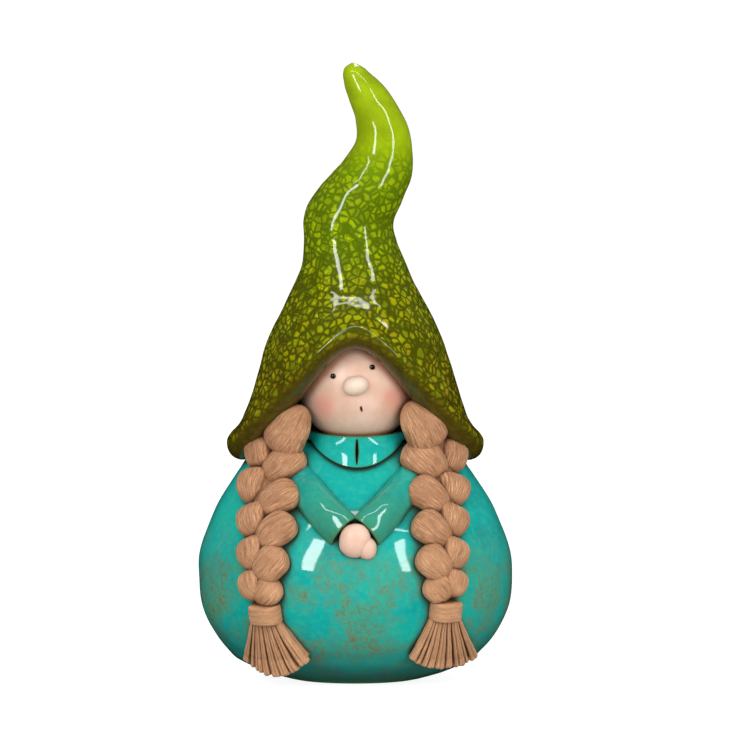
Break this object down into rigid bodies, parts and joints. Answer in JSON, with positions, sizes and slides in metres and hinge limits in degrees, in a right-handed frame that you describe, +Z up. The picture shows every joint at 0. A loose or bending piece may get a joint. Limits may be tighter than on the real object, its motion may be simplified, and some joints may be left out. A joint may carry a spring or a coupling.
{
  "type": "garden gnome figurine",
  "caption": "Hollow glazed earthenware garden gnome girl: round turquoise dress, clasped hands, plaits and a tall bent green hat with an arched brim.",
  "frame": {"origin": "centre of the foot, on the plane that it stands on", "axes": "+Z up, the face looks along -Y, +X is the right side of somebody facing the figure"},
  "size_m": [0.226, 0.2117, 0.442],
  "materials": {
    "dress_glaze": "mottled turquoise gloss glaze",
    "hat_glaze": "lime green crackle gloss glaze",
    "hair": "matt light brown stain over combed clay",
    "skin": "satin flesh paint",
    "black_glaze": "black gloss",
    "bare_clay": "bare fired clay"
  },
  "bodies": {
    "root": {"dress_shell": "dress_glaze", "base_slab": "bare_clay", "collar": "dress_glaze", "left_sleeve": "dress_glaze", "right_sleeve": "dress_glaze", "left_hand": "skin", "right_hand": "skin", "head": "skin", "nose": "skin", "left_eye": "black_glaze", "right_eye": "black_glaze", "left_plait": "hair", "right_plait": "hair", "left_tie": "hair", "right_tie": "hair", "left_tassel": "hair", "right_tassel": "hair", "hat": "hat_glaze"}
  },
  "joints": []
}
